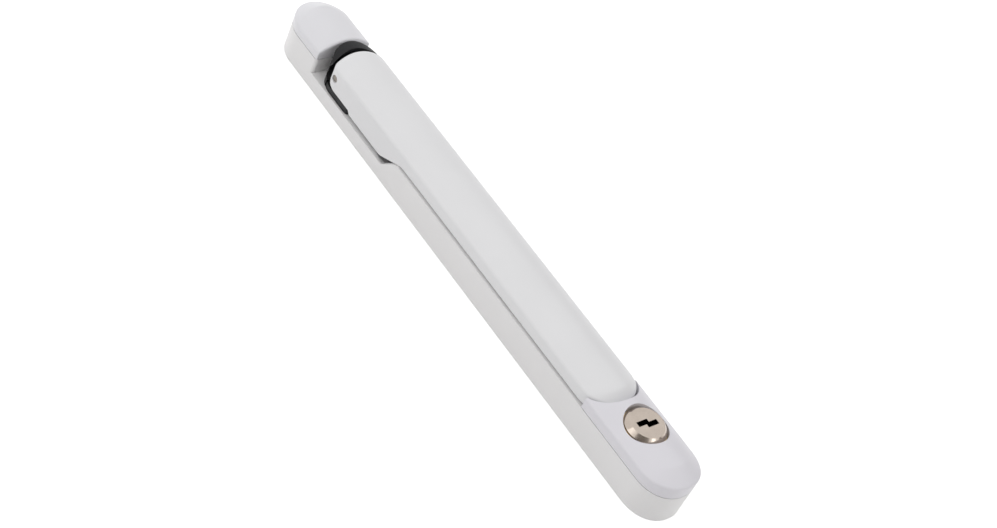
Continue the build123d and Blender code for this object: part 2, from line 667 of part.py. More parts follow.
def main():
    os.makedirs("parts", exist_ok=True)
    lock_cap_tip = FACET_BOTTOM - CAP_SCREW_ROOF - SCREW_RUNOUT
    nodes = {
        "base": make_base(),
        "hinge_cap": make_hinge_cap(),
        "lock_cap": make_lock_cap(),
        "hinge_cap_screws": screws(HINGE_CAP_SCREWS, SCREW_ENTRY, RIM_Z + CAP_SCREW_BITE, SCREW_M3),
        "lock_cap_screws": screws(LOCK_CAP_SCREWS, SCREW_ENTRY, lock_cap_tip, SCREW_M25),
        "lock_barrel": make_barrel(),
        "bolt_cover": make_cover(),
        "bolt_cover_screws": screws(COVER_SCREWS, COVER_SINK / 2, COVER_THICK + COVER_SCREW_BITE, SCREW_M2),
        "nose_buffers": make_buffers(),
        "hub": make_hub(),
        "drive_socket": make_socket(),
        "thrust_washer": make_thrust_washer(),
        "wave_washer": make_wave_washer(),
        "retaining_ring": make_retaining_ring(),
        "lever": make_lever(),
        "hinge_pin": make_pin(),
        "pin_washers": make_pin_washers(),
        "lever_catch": make_catch(),
        "catch_screws": screws([(0, -y) for y in CATCH_SCREWS], LEVER_UNDER,
                               LEVER_UNDER + CATCH_SCREW_LENGTH, SCREW_M25),
        "lock_plug": make_plug(),
        "lock_wafers": make_wafers(),
        "plug_clip": make_plug_clip(),
        "lock_bolt": make_bolt(),
    }
    for name, solid in nodes.items():
        export_step(solid, "parts/" + name + ".step")


main()
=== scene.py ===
import bmesh
import bpy
import json
import math
from collections import namedtuple
from mathutils import Euler, Matrix, Vector


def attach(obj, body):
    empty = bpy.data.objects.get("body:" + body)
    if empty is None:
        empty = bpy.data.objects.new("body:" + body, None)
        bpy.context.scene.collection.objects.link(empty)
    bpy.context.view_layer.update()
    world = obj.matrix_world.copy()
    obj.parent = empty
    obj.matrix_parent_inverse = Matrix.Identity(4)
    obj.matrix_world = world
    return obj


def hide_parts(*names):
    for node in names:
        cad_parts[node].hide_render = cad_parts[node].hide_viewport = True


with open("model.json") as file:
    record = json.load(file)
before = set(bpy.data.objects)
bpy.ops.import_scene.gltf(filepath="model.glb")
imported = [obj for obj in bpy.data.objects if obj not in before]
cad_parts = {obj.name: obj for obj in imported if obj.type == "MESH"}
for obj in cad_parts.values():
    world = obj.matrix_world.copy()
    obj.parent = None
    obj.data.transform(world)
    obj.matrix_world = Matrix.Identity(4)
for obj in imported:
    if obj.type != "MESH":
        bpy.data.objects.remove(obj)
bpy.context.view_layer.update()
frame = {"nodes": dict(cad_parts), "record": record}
nodes = frame["nodes"]

# Places on the part, in metres
LOCK_AXIS = (0.0, -0.16656)
# KEYWAY_TOP and KEYWAY_REACH bound the painted shade inside the key slot
KEYWAY_TOP = 0.0191
KEYWAY_REACH = 0.0050
MIDDLE = Vector((0.0, -0.0775, 0.01))

# Camera fitted to the photograph's outline, with its turn in degrees
CAMERA_PLACE = (-0.37264, -0.35156, 0.41950)
CAMERA_TURN = (44.7064, -19.8356, -35.9868)
CAMERA_LENS = 67.52
CAMERA_SENSOR = 36.0
CAMERA_SHIFT = (-0.0007, -0.0003)
CAMERA_CLIP = (0.01, 50.0)

# Studio. A lamp has a name, place, size and power, and a card a name, place, width and height.
WORLD_LIGHT = 0.945
FLOOR_HALF = 6.0
FLOOR_DROP = 0.0001
FLOOR_COLOUR = (0.80, 0.80, 0.80, 1.0)
FLOOR_LIFT = 0.55
CARD_COLOUR = (0.16, 0.14, 0.125, 1.0)
STUDIO_ROUGHNESS = 0.9
LAMPS = (("key", (-0.84, 0.06, 0.56), 0.8, 1.5),
         ("front", (0.25, -1.21, 0.56), 0.35, 0.6))
CARDS = (("left_card", (-0.80, -0.70, 0.46), 1.80, 0.75),
         ("right_card", (0.90, -0.30, 0.42), 1.60, 0.50))

# Finishes. Noise is spread from the first to the second of NOISE_SPAN.
NOISE_SPAN = (0.3, 0.7)
GLOSS_PATCHES = 6.0
NICKEL_LOW = (0.530, 0.460, 0.400)
NICKEL_HIGH = (0.580, 0.505, 0.440)
# Painted shade for the inside of the lock's key slot, standing in for its shadow
KEY_SLOT_PAINTED_SHADE = (0.050, 0.035, 0.025)
TURNED_RINGS = 900.0
TURNED_WOBBLE = 1.5

# Shown forms, in millimetres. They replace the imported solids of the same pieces.
MM = 0.001
PAST_TOP = 30.0
PAST_SIDE = 12.0
PAST_LUG = 7.0
PAST_BACK = -1.0
NUDGE = 0.001
WELD = 0.001
CROWN_RADIUS = 17.7
SHARP_FROM = math.radians(32.0)

# Base and the caps on its ends. A facet has a foot, an angle in degrees and a blend into the crown.
BASE_HALF = 11.0
END_RISE = 12.08
END_FULLNESS = 2.2
FULLER_FROM = 0.9
OVER_BASE = (-20.0, 20.0, -200.0, 50.0)
RIM_TOP = 11.5
GROOVE = 0.28
GROOVE_DEPTH = 0.8
TABLE_FLOOR = 5.5
TABLE_WALL = 10.75
WALL_CORNER = 1.3
WALL_OVERLAP = 1.0
LOCK_CAP_CROWN = 19.3
LOCK_CAP_FACET = (16.72, 23.0, 0.03)
LOCK_CAP_FALL = 0.30
LOCK_CAP_EDGE = 1.0
HINGE_CAP_CROWN = 18.7
HINGE_CAP_FACET = (15.3, 30.8, 0.04)
HINGE_CAP_EDGE = 1.2
LOCK_HOLE = 7.72
FLANGE_HOLE = 9.15
FLANGE_TOP = 11.8
HORN_END = -149.7
PAST_HORNS = -120.0

# Lever: its top and ends
PIN_Z = 12.6
PIN_HOLE = 1.42
LIFT = math.radians(75.0)
LEVER_HALF = 10.3
LEVER_CROWN = 19.65
LEVER_FACET = (16.8, 38.5, 0.22)
LEVER_EDGE = 1.4
LEVER_LENGTH = 150.6
NOSE_CENTRE = -146.0
NOSE_RISE = 10.1
NOSE_GAP = 0.5
BULGE_RADIUS = 30.4
BULGE_CENTRE = -25.8

# Lever: its underside, which from the nose on slopes down to the deep part, steps up to the knuckle
# and rolls up behind the pin
LEVER_UNDER = 12.15
DEEP_UNDER = 7.05
KNUCKLE_UNDER = 8.15
SLOPE_START = -46.0
SLOPE_END = -32.3
SLOPE_ANGLE = math.radians(25.0)
SLOPE_BLENDS = (0.15, 0.1)
STEP_START = -12.4
STEP_RUN = 1.2
ROLL_START = -1.5
ROLL_SPREAD = 6.4

# Lever: the slot for the hub's lug, the hollow with its pockets between ribs, and the catch's seat
SLOT_HALF = 5.99
SLOT_RADIUS = 4.9
SLOT_TOP = 16.3
SLOT_FRONT = -13.0
KNUCKLE_ROOM = (-0.1, 6.0)
NECK_ROOM = (-3.0, 3.35)
HOLLOW_HALF = 8.1
HOLLOW_FRONT = -139.2
HOLLOW_BACK = -15.2
HOLLOW_TOP = 14.4
POCKETS = 5
POCKET_PITCH = 24.8
POCKET_HALF = 8.0
POCKET_START = 0.8
POCKET_STOP = 24.0
POCKET_HEIGHTS = (14.0, 16.4)
CATCH_SEAT = (-4.22, 4.22, -153.42, -140.48, 0.0, 13.75)
CATCH_SCREWS = (-149.0, -143.6)
CATCH_SCREW_HOLE = 1.27
CATCH_SCREW_TOP = 17.1

# Hub: its plate, the collar behind the knuckle, and the journal, lug and socket
PLATE_BOTTOM = 5.65
PLATE_TOP = 7.85
PLATE_RADIUS = 10.25
PLATE_CORNER = 1.5
PLATE_FRONT = -11.1
COLLAR_BOTTOM = PLATE_BOTTOM + 0.3
COLLAR_RADIUS = 10.2
COLLAR_HALF = 10.65
COLLAR_CROWN = 18.8
COLLAR_FRONT = 3.8
COLLAR_HOLLOW = 13.5
COLLAR_BACK = 6.45
TURNING_ROOM = 1.7
RAISED_ROOM = 0.35
RAISED_RUN = (-60.0, 4.95)
JOURNAL = ((8.0, 0.4), (8.0, 0.5), (7.3, 0.5), (7.3, 1.5), (8.0, 1.5), (8.0, 6.0))
LUG_HALF = 5.4
LUG_RADIUS = 4.4
LUG_BORE = 1.45
NECK_HALF = 3.0
NECK_BOTTOM = 6.0
SOCKET_RADIUS = 5.82
SOCKET_TOP = 4.4

# Lock head, as (radius, height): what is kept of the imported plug, and the turned head on it. The
# key slot has two arms side by side, each with a middle and a half size in X and Y.
PLUG_KEPT = ((9.0, -5.0), (9.0, 16.5), (7.2, 16.5), (7.2, 17.2))
HEAD_PROFILE = ((7.3, 16.6), (7.3, 17.8), (5.95, 19.3))
ARM_MIDDLE = (1.53, 0.62)
ARM_HALF = (2.23, 0.91)
ARM_HEIGHTS = (9.3, 20.0)

# How finely the forms are drawn
END_POINTS = 40
CORNER_POINTS = 8
LEAST_CORNER = 0.02
CORNER_GAP = 0.1
BACK_POINTS = 16
RING_STEP = 0.4
EDGE_RINGS = 9
TURNED_POINTS = 96
NOSE_POINTS = 120
PLATE_POINTS = 72
PLATE_CORNER_POINTS = 10
ACROSS = [step / 4 for step in range(-46, 47)]

# Outlines with one elliptical end: half width, rise of the end, middle of the ellipse in Y,
# direction in Y from the rounded end to the other, length from that middle to the other end,
# radius of that end's bulge and of its corners, and how full the ellipse is, 2 for a true one.
# The stations are the points on their sides, measured from that middle.
Plan = namedtuple("Plan", "half rise middle way length bulge corner fullness")
LEVER_PLAN = Plan(LEVER_HALF, NOSE_RISE, NOSE_CENTRE, 1.0, LEVER_LENGTH, BULGE_RADIUS, 3.0,
                  END_FULLNESS)
LEVER_STATIONS = ([4.0 * step for step in range(24)] + [96.0 + 0.6 * step for step in range(34)]
                  + [119.0, 123.0, 127.0, 131.0, 133.4, 133.6, 133.9, 134.2, 134.5, 134.8])
LOCK_CAP_PLAN = Plan(BASE_HALF, END_RISE, -178.12, 1.0, 45.0, 9000.0, 0.3, END_FULLNESS)
LOCK_CAP_STATIONS = [1.0 * step for step in range(32)]
HINGE_CAP_PLAN = Plan(BASE_HALF, END_RISE, 23.22, -1.0, 12.47, 9000.0, 0.4, 2.0)
HINGE_CAP_STATIONS = [0.8 * step for step in range(14)]


def soft_min(a, b, width):
    """The lower of two heights, with a rounded change from one to the other."""
    return (a + b) / 2 - math.hypot((a - b) / 2, width)


def crown_height(x, top):
    """Height of a round crown whose highest line is at top."""
    return top - CROWN_RADIUS + math.sqrt(CROWN_RADIUS ** 2 - x ** 2)


def reach(u, v, fullness):
    """Distance from the middle on an ellipse of half size one, made fuller or leaner."""
    return (abs(u) ** fullness + abs(v) ** fullness) ** (1 / fullness)


def arc_points(x, y, radius, start, stop, count):
    points = []
    for step in range(count + 1):
        angle = math.radians(start + (stop - start) * step / count)
        points.append((x + radius * math.cos(angle), y + radius * math.sin(angle)))
    return points


def half_outline(plan, inset, stations):
    """One side of an outline drawn in by inset, from the tip of its rounded end to the middle of
    its other end."""
    points = []
    left = inset - plan.half
    for step in range(END_POINTS):
        angle = math.radians(90 * (step + 0.5) / END_POINTS)
        out = left / reach(math.sin(angle), math.cos(angle), plan.fullness)
        points.append((out * math.sin(angle), out * plan.rise / plan.half * math.cos(angle)))
    back = plan.length - plan.bulge
    radius = plan.bulge - inset
    corner = max(plan.corner - inset, LEAST_CORNER)
    corner_x = left + corner
    corner_y = back + math.sqrt((radius - corner) ** 2 - corner_x ** 2)
    room = corner_y - CORNER_GAP
    squeeze = room / stations[-1] if stations[-1] > room else 1.0
    points += [(left, y * squeeze) for y in stations]
    last = stations[-1] * squeeze
    for step in range(1, CORNER_POINTS):
        points.append((left, last + (corner_y - last) * step / CORNER_POINTS))
    turn = math.atan2(corner_y - back, corner_x)
    for step in range(CORNER_POINTS + 1):
        angle = math.pi + (turn - math.pi) * step / CORNER_POINTS
        points.append((corner_x + corner * math.cos(angle), corner_y + corner * math.sin(angle)))
    for step in range(1, BACK_POINTS + 1):
        angle = turn + (math.pi / 2 - turn) * step / (BACK_POINTS + 0.5)
        points.append((radius * math.cos(angle), back + radius * math.sin(angle)))
    return [(x, plan.middle + plan.way * y) for x, y in points]


def whole_outline(plan, inset, stations):
    side = half_outline(plan, inset, stations)
    return side + [(-x, y) for x, y in reversed(side)]


def depth_in(plan, x, y):
    """How far a point lies inside the sides and the rounded end of an outline."""
    past = max(-plan.way * (y - plan.middle), 0.0)
    return plan.half * (1 - reach(x / plan.half, past / plan.rise, plan.fullness))


def facet_top(plan, crown, facet, fall=0.0):
    """Height of a crowned top whose rounded end slopes in from its outline. There it stands at the
    facet's foot, and falls to the sides by a share of the crown's own fall."""
    foot, angle, blend = facet
    climb = math.tan(math.radians(angle))

    def height(x, y):
        top = crown_height(x, crown)
        return soft_min(top, foot + fall * (top - crown) + climb * depth_in(plan, x, y), blend)

    return height


def level_ring(plan, stations, inset, height):
    return [(x, y, height(y)) for x, y in whole_outline(plan, inset, stations)]


def crowned_rings(plan, stations, height, edge):
    """Rings that run in over the top from the outline, the first ones round its edge."""
    insets = [edge * (step / EDGE_RINGS) ** 2 for step in range(EDGE_RINGS + 1)]
    while insets[-1] < plan.half - 2 * RING_STEP:
        insets.append(insets[-1] + min(RING_STEP, plan.half - RING_STEP - insets[-1]))
    outer = whole_outline(plan, 0.0, stations)
    inner = whole_outline(plan, edge, stations)
    rings = []
    for inset in insets:
        ring = []
        for place, (x, y) in enumerate(whole_outline(plan, inset, stations)):
            z = height(x, y)
            start = height(*outer[place])
            slope = math.atan((height(*inner[place]) - start) / edge)
            if inset < edge * (1 - math.sin(slope)):
                centre = start + edge * (math.tan(slope) - 1 / math.cos(slope))
                arc = centre + math.sqrt(edge ** 2 - (edge - inset) ** 2)
                z += arc - (start + inset * math.tan(slope))
            ring.append((x, y, z))
        rings.append(ring)
    return rings


def cap_rings(plan, stations, height, edge):
    """Rings of a cap, from its foot in the groove to the middle of its top."""
    rings = []
    for inset, level in ((GROOVE_DEPTH, RIM_TOP), (GROOVE_DEPTH, RIM_TOP + GROOVE),
                         (0.0, RIM_TOP + GROOVE)):
        rings.append(level_ring(plan, stations, inset, lambda y: level))
    return rings + crowned_rings(plan, stations, height, edge)


def new_solid(name, points, faces):
    mesh = bpy.data.meshes.new(name)
    mesh.from_pydata(points, [], faces)
    work = bmesh.new()
    work.from_mesh(mesh)
    bmesh.ops.recalc_face_normals(work, faces=work.faces)
    work.to_mesh(mesh)
    work.free()
    made = bpy.data.objects.new(name, mesh)
    bpy.context.scene.collection.objects.link(made)
    return made


def row_faces(rows, count):
    """Faces that join each closed row of points to the next."""
    faces = []
    for row in range(rows - 1):
        for place in range(count):
            after = (place + 1) % count
            faces.append((row * count + place, row * count + after,
                          (row + 1) * count + after, (row + 1) * count + place))
    return faces


def skin(name, rings):
    """A closed solid over rings of equal count, each symmetric about X = 0."""
    count = len(rings[0])
    faces = row_faces(len(rings), count)
    for start in (0, (len(rings) - 1) * count):
        for place in range(count // 2 - 1):
            far = count - 1 - place
            faces.append((start + place, start + place + 1, start + far - 1, start + far))
    return new_solid(name, [point for ring in rings for point in ring], faces)


def prism(outline, low, high, run="Z"):
    """A closed outline run along an axis. It is drawn in XY for Z and in XZ for Y."""
    points = []
    for level in (low, high):
        points += [(u, v, level) if run == "Z" else (u, level, v) for u, v in outline]
    count = len(outline)
    faces = [tuple(range(count)), tuple(range(count, 2 * count))]
    return new_solid("prism", points, faces + row_faces(2, count))


def block(x0, x1, y0, y1, z0, z1):
    return prism([(x0, y0), (x1, y0), (x1, y1), (x0, y1)], z0, z1)


def turned(profile, centre, run="Z"):
    """A profile of (radius, height) turned about the Z or X direction through a centre."""
    points = []
    for radius, height in profile:
        for step in range(TURNED_POINTS):
            angle = math.tau * step / TURNED_POINTS
            across, up = radius * math.cos(angle), radius * math.sin(angle)
            local = (across, up, height) if run == "Z" else (height, across, up)
            points.append(tuple(a + b for a, b in zip(local, centre)))
    faces = row_faces(len(profile), TURNED_POINTS)
    faces.append(tuple(range(TURNED_POINTS)))
    faces.append(tuple(range((len(profile) - 1) * TURNED_POINTS, len(points))))
    return new_solid("turned", points, faces)


def cylinder(x, y, z0, z1, radius):
    return turned([(radius, z0), (radius, z1)], (x, y, 0.0))


def cross_rod(half, radius):
    """A cylinder of a half length across the part, on the axis of the hinge pin."""
    return turned([(radius, -half), (radius, half)], (0.0, 0.0, PIN_Z), run="X")


def move(body, *matrices):
    for matrix in matrices:
        body.data.transform(matrix)


def combine(body, operation, tools):
    """Joins, cuts or trims a solid by others, which are used up."""
    for tool in tools:
        step = body.modifiers.new(operation, "BOOLEAN")
        step.operation = operation
        step.solver = "EXACT"
        step.object = tool
    bpy.context.view_layer.update()
    graph = bpy.context.evaluated_depsgraph_get()
    old = body.data
    body.data = bpy.data.meshes.new_from_object(body.evaluated_get(graph))
    body.modifiers.clear()
    bpy.data.meshes.remove(old)
    for tool in tools:
        bpy.data.meshes.remove(tool.data)


def cut(body, *tools):
    combine(body, "DIFFERENCE", tools)


def join(body, *tools):
    combine(body, "UNION", tools)


def trim(body, *tools):
    combine(body, "INTERSECT", tools)


def copy_of(node):
    """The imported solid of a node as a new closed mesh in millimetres."""
    mesh = nodes[node].data.copy()
    mesh.transform(Matrix.Scale(1 / MM, 4))
    work = bmesh.new()
    work.from_mesh(mesh)
    bmesh.ops.remove_doubles(work, verts=work.verts, dist=WELD)
    work.to_mesh(mesh)
    work.free()
    mesh.materials.clear()
    made = bpy.data.objects.new(node + "_copy", mesh)
    bpy.context.scene.collection.objects.link(made)
    return made


def show(body, node, rides, finish):
    """Puts a finished solid in the place of its node."""
    body.name = node + "_shown"
    mesh = body.data
    mesh.transform(Matrix.Scale(MM, 4))
    mesh.materials.clear()
    mesh.materials.append(finish)
    for face in mesh.polygons:
        face.use_smooth = True
        face.material_index = 0
    mesh.set_sharp_from_angle(angle=SHARP_FROM)
    even = body.modifiers.new("even", "WEIGHTED_NORMAL")
    even.keep_sharp = True
    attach(body, rides)
    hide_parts(node)


def lever_under(y):
    """Height of the lever's underside."""
    if y > ROLL_START:
        radius = PIN_Z - KNUCKLE_UNDER
        rolled = PIN_Z - math.sqrt(max(radius ** 2 - max(y, 0.0) ** 2, 0.0))
        return min(max(rolled, KNUCKLE_UNDER + (y - ROLL_START) ** 2 / ROLL_SPREAD), PIN_Z)
    if y > STEP_START:
        step = (y - STEP_START) / STEP_RUN * (KNUCKLE_UNDER - DEEP_UNDER)
        return min(KNUCKLE_UNDER, DEEP_UNDER + step)
    if y > SLOPE_START:
        slope = DEEP_UNDER + (SLOPE_END - y) * math.tan(SLOPE_ANGLE)
        lower = -soft_min(-DEEP_UNDER, -slope, SLOPE_BLENDS[1])
        return soft_min(lower, LEVER_UNDER, SLOPE_BLENDS[0])
    return LEVER_UNDER


def make_lever_form(finish):
    height = facet_top(LEVER_PLAN, LEVER_CROWN, LEVER_FACET)
    body = skin("lever", [level_ring(LEVER_PLAN, LEVER_STATIONS, 0.0, lever_under)]
                + crowned_rings(LEVER_PLAN, LEVER_STATIONS, height, LEVER_EDGE))
    # Room for the hub's neck when the lever is raised
    neck = block(-SLOT_HALF, SLOT_HALF, *NECK_ROOM, -PIN_Z, 0.0)
    move(neck, Matrix.Rotation(LIFT, 4, "X"), Matrix.Translation((0.0, 0.0, PIN_Z)))
    inner = SLOT_HALF - NUDGE
    tools = [cross_rod(SLOT_HALF, SLOT_RADIUS),
             block(-SLOT_HALF, SLOT_HALF, SLOT_FRONT, 0.0, 0.0, SLOT_TOP),
             block(-inner, inner, *KNUCKLE_ROOM, 0.0, PIN_Z), neck,
             cross_rod(PAST_SIDE, PIN_HOLE),
             block(-HOLLOW_HALF, HOLLOW_HALF, HOLLOW_FRONT, HOLLOW_BACK, 0.0, HOLLOW_TOP),
             block(*CATCH_SEAT)]
    for number in range(POCKETS):
        y = HOLLOW_FRONT + POCKET_PITCH * number
        tools.append(block(-POCKET_HALF, POCKET_HALF, y + POCKET_START, y + POCKET_STOP,
                           *POCKET_HEIGHTS))
    for y in CATCH_SCREWS:
        tools.append(cylinder(0.0, y, 0.0, CATCH_SCREW_TOP, CATCH_SCREW_HOLE))
    for tool in tools:
        cut(body, tool)
    show(body, "lever", "lever", finish)


def make_lock_cap_form(finish):
    height = facet_top(LOCK_CAP_PLAN, LOCK_CAP_CROWN, LOCK_CAP_FACET, LOCK_CAP_FALL)
    body = skin("lock_cap", cap_rings(LOCK_CAP_PLAN, LOCK_CAP_STATIONS, height, LOCK_CAP_EDGE))
    # The hollow between the horns, round the lever's nose
    nose = []
    for step in range(NOSE_POINTS):
        angle = math.tau * step / NOSE_POINTS
        out = 1 / reach(math.cos(angle), math.sin(angle), LEVER_PLAN.fullness)
        nose.append(((LEVER_HALF + NOSE_GAP) * out * math.cos(angle),
                     NOSE_CENTRE + (NOSE_RISE + NOSE_GAP) * out * math.sin(angle)))
    cut(body, prism(nose, 0.0, PAST_TOP))
    cut(body, block(-PAST_SIDE, PAST_SIDE, HORN_END, PAST_HORNS, 0.0, PAST_TOP))
    lock_y = LOCK_AXIS[1] / MM
    cut(body, cylinder(0.0, lock_y, 0.0, PAST_TOP, LOCK_HOLE))
    cut(body, cylinder(0.0, lock_y, 0.0, FLANGE_TOP, FLANGE_HOLE))
    show(body, "lock_cap", "base", finish)


def make_hinge_cap_form(finish):
    height = facet_top(HINGE_CAP_PLAN, HINGE_CAP_CROWN, HINGE_CAP_FACET)
    rings = cap_rings(HINGE_CAP_PLAN, HINGE_CAP_STATIONS, height, HINGE_CAP_EDGE)
    show(skin("hinge_cap", rings), "hinge_cap", "base", finish)


def make_collar():
    """The collar behind the knuckle, with room for the lever at rest, raised and in between."""
    collar = cylinder(0.0, 0.0, COLLAR_BOTTOM, PAST_TOP, COLLAR_RADIUS)
    move(collar, Matrix.Diagonal((COLLAR_HALF / COLLAR_RADIUS, 1.0, 1.0, 1.0)))
    crown = [(x, crown_height(x, COLLAR_CROWN)) for x in ACROSS]
    trim(collar, prism(crown + [(PAST_SIDE, 0.0), (-PAST_SIDE, 0.0)], -PAST_SIDE, PAST_SIDE,
                       run="Y"))
    cut(collar, cylinder(0.0, COLLAR_BACK - COLLAR_HOLLOW, 0.0, PAST_TOP + 1.0, COLLAR_HOLLOW))
    cut(collar, block(-PAST_SIDE, PAST_SIDE, -PAST_SIDE, COLLAR_FRONT, 0.0, PAST_TOP + 2.0))
    around = []
    for x in ACROSS:
        back = BULGE_CENTRE + math.sqrt(BULGE_RADIUS ** 2 - x ** 2)
        up = crown_height(x, LEVER_CROWN) - LEVER_EDGE - PIN_Z
        around.append((TURNING_ROOM + math.hypot(max(back - LEVER_EDGE, 0.0), up), x))
    cut(collar, turned(around, (0.0, 0.0, PIN_Z), run="X"))
    raised = prism([(x, crown_height(x, LEVER_CROWN) + RAISED_ROOM) for x in ACROSS]
                   + [(PAST_SIDE, PIN_Z), (-PAST_SIDE, PIN_Z)], *RAISED_RUN, run="Y")
    move(raised, Matrix.Translation((0.0, 0.0, -PIN_Z)), Matrix.Rotation(-LIFT, 4, "X"),
         Matrix.Translation((0.0, 0.0, PIN_Z)))
    cut(collar, raised)
    return collar


def make_hub_form(finish):
    side = PLATE_RADIUS - PLATE_CORNER
    front = PLATE_FRONT + PLATE_CORNER
    plate = arc_points(0.0, 0.0, PLATE_RADIUS, 0, 180, PLATE_POINTS)
    plate += arc_points(-side, front, PLATE_CORNER, 180, 270, PLATE_CORNER_POINTS)
    plate += arc_points(side, front, PLATE_CORNER, 270, 360, PLATE_CORNER_POINTS)
    body = prism(plate, PLATE_BOTTOM, PLATE_TOP)
    join(body, make_collar())
    join(body, turned(JOURNAL, (0.0, 0.0, 0.0)))
    join(body, cross_rod(LUG_HALF, LUG_RADIUS))
    inner = LUG_HALF - NUDGE
    join(body, block(-inner, inner, -NECK_HALF, NECK_HALF, NECK_BOTTOM, PIN_Z))
    cut(body, cross_rod(PAST_LUG, LUG_BORE))
    cut(body, cylinder(0.0, 0.0, PAST_BACK, SOCKET_TOP, SOCKET_RADIUS))
    show(body, "hub", "hub", finish)


def make_base_form(finish):
    """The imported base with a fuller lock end, a level rim and rounded ends of its table walls."""
    body = copy_of("base")
    plan = LOCK_CAP_PLAN
    for vertex in body.data.vertices:
        u, v = vertex.co.x / plan.half, (plan.middle - vertex.co.y) / plan.rise
        if v > 0 and math.hypot(u, v) > FULLER_FROM:
            out = math.hypot(u, v) / reach(u, v, plan.fullness)
            vertex.co.x *= out
            vertex.co.y = plan.middle - v * plan.rise * out
    cut(body, block(*OVER_BASE, RIM_TOP, PAST_TOP))
    for side in (-1, 1):
        x = side * (BASE_HALF - WALL_CORNER)
        y = TABLE_WALL + WALL_CORNER
        front = TABLE_WALL - WALL_OVERLAP
        outer = arc_points(x, y, WALL_CORNER, 270, 270 + side * 90, CORNER_POINTS)
        outer += [(side * PAST_SIDE, y), (side * PAST_SIDE, front), (x, front)]
        cut(body, prism(outer, TABLE_FLOOR, PAST_TOP))
    show(body, "base", "base", finish)


def make_lock_head_form(finish):
    body = copy_of("lock_plug")
    lock_y = LOCK_AXIS[1] / MM
    trim(body, turned(PLUG_KEPT, (0.0, lock_y, 0.0)))
    join(body, turned(HEAD_PROFILE, (0.0, lock_y, 0.0)))
    for side in (-1, 1):
        x = side * ARM_MIDDLE[0]
        y = lock_y - side * ARM_MIDDLE[1]
        cut(body, block(x - ARM_HALF[0], x + ARM_HALF[0], y - ARM_HALF[1], y + ARM_HALF[1],
                        *ARM_HEIGHTS))
    show(body, "lock_plug", "plug", finish)


def new_material(name):
    made = bpy.data.materials.new(name)
    made.use_nodes = True
    return made, made.node_tree, made.node_tree.nodes["Principled BSDF"]


def object_space(tree, offset=(0.0, 0.0, 0.0)):
    """Coordinates in metres that move with the piece."""
    where = tree.nodes.new("ShaderNodeTexCoord")
    mapping = tree.nodes.new("ShaderNodeMapping")
    mapping.inputs["Location"].default_value = offset
    tree.links.new(where.outputs["Object"], mapping.inputs["Vector"])
    return mapping.outputs["Vector"]


def noise(tree, vector, scale, detail=2.0, rough=0.5):
    made = tree.nodes.new("ShaderNodeTexNoise")
    made.inputs["Scale"].default_value = scale
    made.inputs["Detail"].default_value = detail
    made.inputs["Roughness"].default_value = rough
    tree.links.new(vector, made.inputs["Vector"])
    return made.outputs["Fac"]


def ramp(tree, factor, stops):
    """Colours that follow a factor, given as (factor, colour). The first two come in order."""
    made = tree.nodes.new("ShaderNodeValToRGB")
    elements = made.color_ramp.elements
    for number, (position, colour) in enumerate(stops):
        stop = elements[number] if number < 2 else elements.new(position)
        stop.position = position
        stop.color = (*colour, 1.0)
    tree.links.new(factor, made.inputs["Fac"])
    return made.outputs["Color"]


def spread(tree, factor, low, high, span=NOISE_SPAN):
    """Runs from low to high as the factor goes through the span."""
    made = tree.nodes.new("ShaderNodeMapRange")
    made.inputs["From Min"].default_value, made.inputs["From Max"].default_value = span
    made.inputs["To Min"].default_value = low
    made.inputs["To Max"].default_value = high
    tree.links.new(factor, made.inputs["Value"])
    return made.outputs["Result"]


def bump(tree, height, strength, distance, below=None):
    made = tree.nodes.new("ShaderNodeBump")
    made.inputs["Strength"].default_value = strength
    made.inputs["Distance"].default_value = distance
    tree.links.new(height, made.inputs["Height"])
    if below is not None:
        tree.links.new(below, made.inputs["Normal"])
    return made.outputs["Normal"]


def reckon(tree, operation, first, second):
    """Result of a sum on a linked value and a second one, linked or plain."""
    made = tree.nodes.new("ShaderNodeMath")
    made.operation = operation
    tree.links.new(first, made.inputs[0])
    if isinstance(second, float):
        made.inputs[1].default_value = second
    else:
        tree.links.new(second, made.inputs[1])
    return made.outputs["Value"]


def surface(name, low, high, roughness, grains, patch=40.0, metallic=0.0, specular=0.5):
    """A finish with slow variation of colour, uneven gloss and one or more sizes of fine relief,
    each with a scale, a strength and a depth in metres."""
    made, tree, shader = new_material(name)
    vector = object_space(tree)
    slow = noise(tree, vector, patch, detail=3.0)
    colour = ramp(tree, slow, ((NOISE_SPAN[0], low), (NOISE_SPAN[1], high)))
    tree.links.new(colour, shader.inputs["Base Color"])
    uneven = noise(tree, vector, patch * GLOSS_PATCHES, detail=4.0, rough=0.6)
    tree.links.new(spread(tree, uneven, *roughness), shader.inputs["Roughness"])
    shader.inputs["Metallic"].default_value = metallic
    shader.inputs["Specular IOR Level"].default_value = specular
    normal = None
    for scale, strength, distance in grains:
        normal = bump(tree, noise(tree, vector, scale), strength, distance, normal)
    tree.links.new(normal, shader.inputs["Normal"])
    return made


def white_coat(name, low, high):
    """Satin powder coat with faint orange peel."""
    return surface(name, low, high, roughness=(0.32, 0.40), specular=0.42,
                   grains=((650.0, 0.30, 0.00003), (2600.0, 0.20, 0.000006)))


def black_moulding():
    """Black plastic with the fine matt grain of a mould."""
    return surface("black_moulding", (0.009, 0.009, 0.010), (0.014, 0.014, 0.016),
                   roughness=(0.38, 0.52), grains=((3500.0, 0.35, 0.00001),), specular=0.28)


